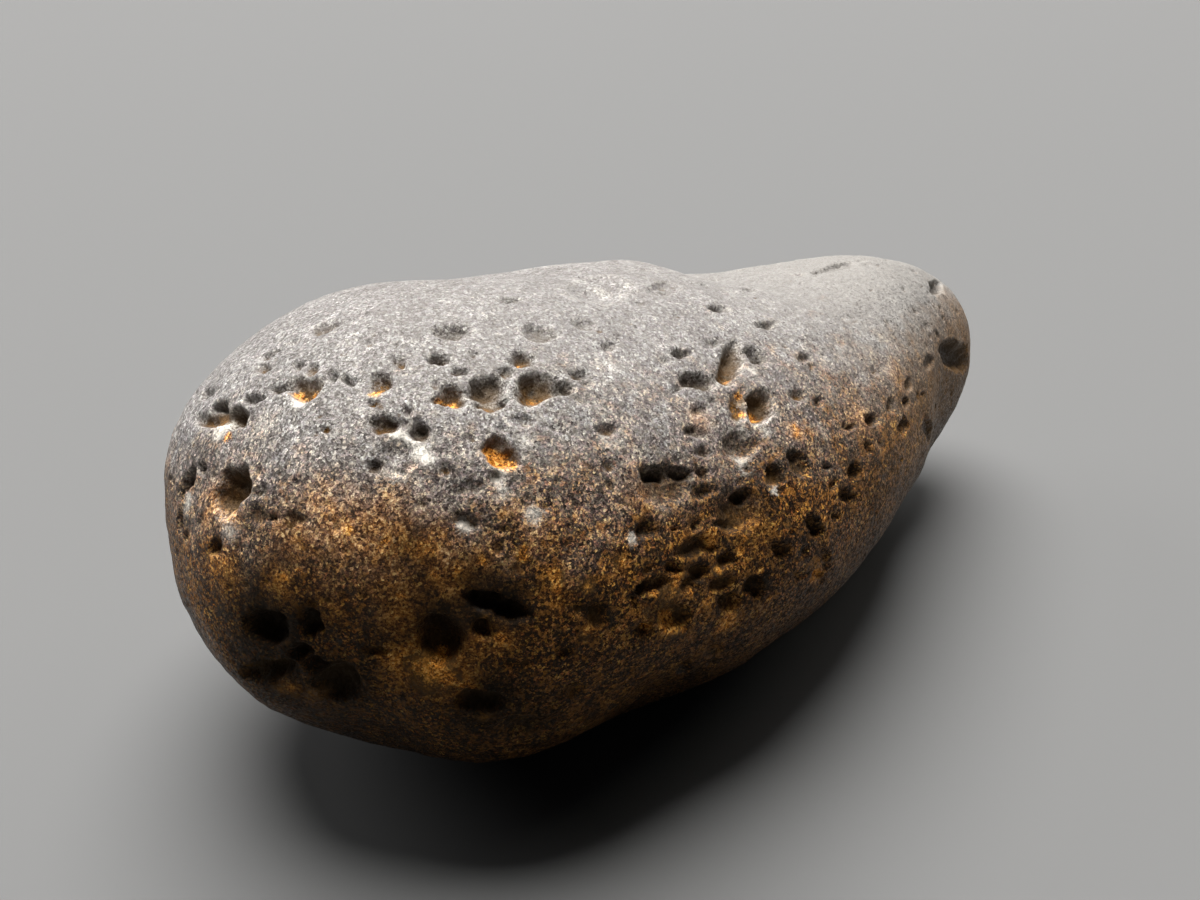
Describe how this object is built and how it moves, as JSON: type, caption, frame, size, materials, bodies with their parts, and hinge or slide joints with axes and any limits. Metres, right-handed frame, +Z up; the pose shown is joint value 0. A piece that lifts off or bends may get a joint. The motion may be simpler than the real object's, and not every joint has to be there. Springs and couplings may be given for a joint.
{
  "type": "tektite",
  "caption": "Pear-shaped tektite of black natural glass, matte and pitted with bubble hollows, lying on its side.",
  "frame": {"origin": "middle of the footprint, on the surface that the stone lies on", "axes": "+X along the stone from the fat end to the tail, +Z up as it lies, -Y towards the side with the listed pits"},
  "size_m": [0.0548, 0.0294, 0.0238],
  "materials": {
    "tektite_glass": "matte, micro-pitted, brown clay in the pits"
  },
  "bodies": {
    "root": {"tektite": "tektite_glass"}
  },
  "joints": []
}
